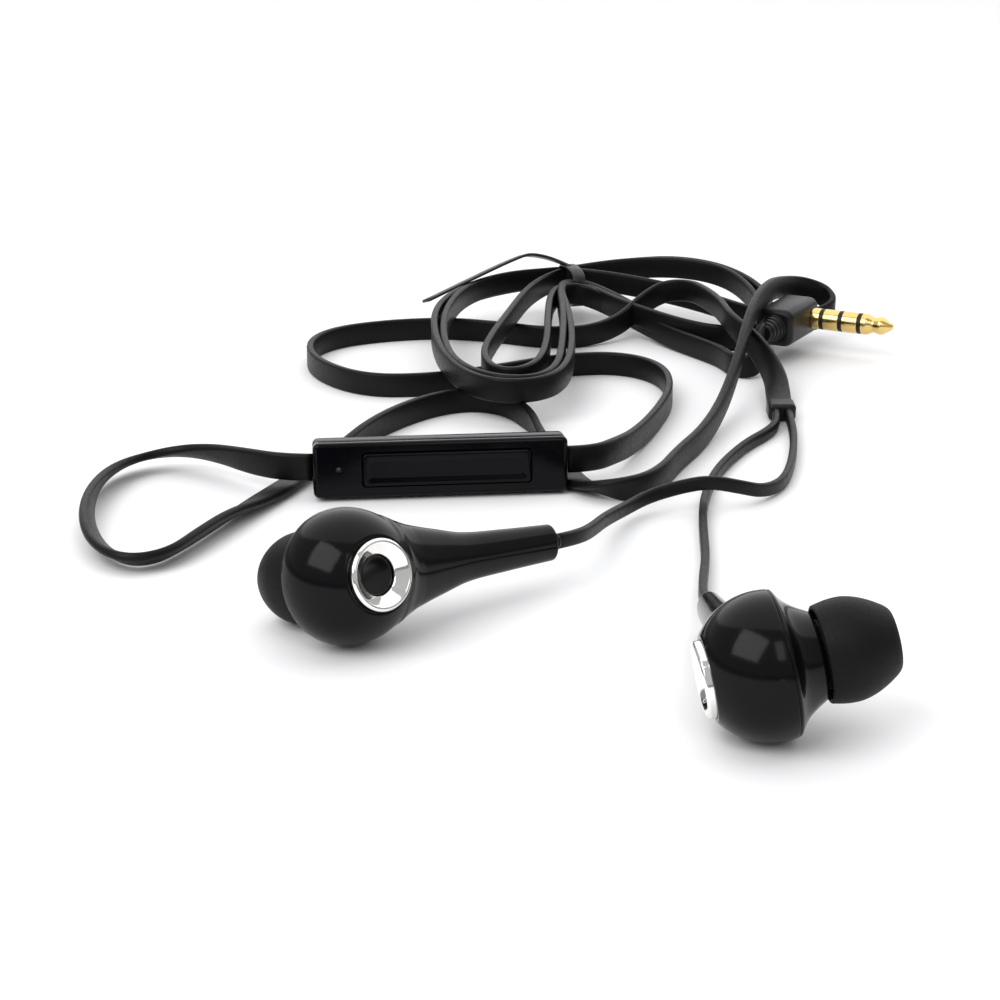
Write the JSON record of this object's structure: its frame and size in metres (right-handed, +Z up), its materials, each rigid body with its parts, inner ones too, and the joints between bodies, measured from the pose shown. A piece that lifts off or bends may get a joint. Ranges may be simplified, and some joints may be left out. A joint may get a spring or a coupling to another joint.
{
  "type": "wired earphones",
  "caption": "Wired in-ear earphones with stemmed buds, soft tips, an inline remote and a flat cord in a tied hank ending in an angled plug.",
  "frame": {"origin": "on the surface that the earphones lie on, under the middle of the two earbuds and the remote", "axes": "+Z up; +Y from the earbuds towards the hank and plug; +X to the right, the way the right earbud points"},
  "size_m": [0.121, 0.2031, 0.0157],
  "materials": {
    "shell": "polished black",
    "ring": "bright",
    "cap": "polished black",
    "steel": "plain",
    "magnet": "plated",
    "film": "thin film",
    "board": "solder mask",
    "mesh": "woven wire",
    "ear_tip": "soft matte",
    "grommet": "satin",
    "remote": "polished black",
    "button": "polished black",
    "cord": "matte",
    "plug": "satin",
    "contact": "gold plated",
    "insulator": "plain",
    "tie": "plain"
  },
  "bodies": {
    "earphones": {"left_rear_shell": "shell", "left_front_shell": "shell", "left_trim_ring": "ring", "left_center_cap": "cap", "left_driver_frame": "steel", "left_driver_magnet": "magnet", "left_diaphragm": "film", "left_terminal_board": "board", "left_nozzle_mesh": "mesh", "left_grommet": "grommet", "right_rear_shell": "shell", "right_front_shell": "shell", "right_trim_ring": "ring", "right_center_cap": "cap", "right_driver_frame": "steel", "right_driver_magnet": "magnet", "right_diaphragm": "film", "right_terminal_board": "board", "right_nozzle_mesh": "mesh", "right_grommet": "grommet", "remote_front_shell": "remote", "remote_back_shell": "remote", "remote_board": "board", "remote_switch": "steel", "remote_microphone": "steel", "remote_microphone_mesh": "mesh", "remote_left_grommet": "grommet", "remote_right_grommet": "grommet", "plug_body": "plug", "plug_strain_relief": "plug", "plug_sleeve": "contact", "plug_ring_two": "contact", "plug_ring_one": "contact", "plug_insulator": "insulator", "plug_tip": "contact", "cable_left": "cord", "cable_right": "cord", "cable_upper": "cord", "cable_lower": "cord", "cable_plug_end": "cord", "cable_split": "plug", "cable_hank": "cord", "twist_tie": "tie"},
    "button": {"remote_button": "button"},
    "left_tip": {"left_ear_tip": "ear_tip"},
    "right_tip": {"right_ear_tip": "ear_tip"}
  },
  "joints": [
    {"name": "button_press", "type": "slide", "parent": "earphones", "child": "button", "axis": [-0.1038, 0.9877, -0.1167], "range_m": [0, 0.00035], "stiffness_N_per_m": 1500},
    {"name": "left_tip_pull", "type": "slide", "parent": "earphones", "child": "left_tip", "axis": [-0.6284, 0.7229, -0.2874], "range_m": [0, 0.0058]},
    {"name": "right_tip_pull", "type": "slide", "parent": "earphones", "child": "right_tip", "axis": [0.9776, 0.0924, 0.1891], "range_m": [0, 0.0058]}
  ]
}
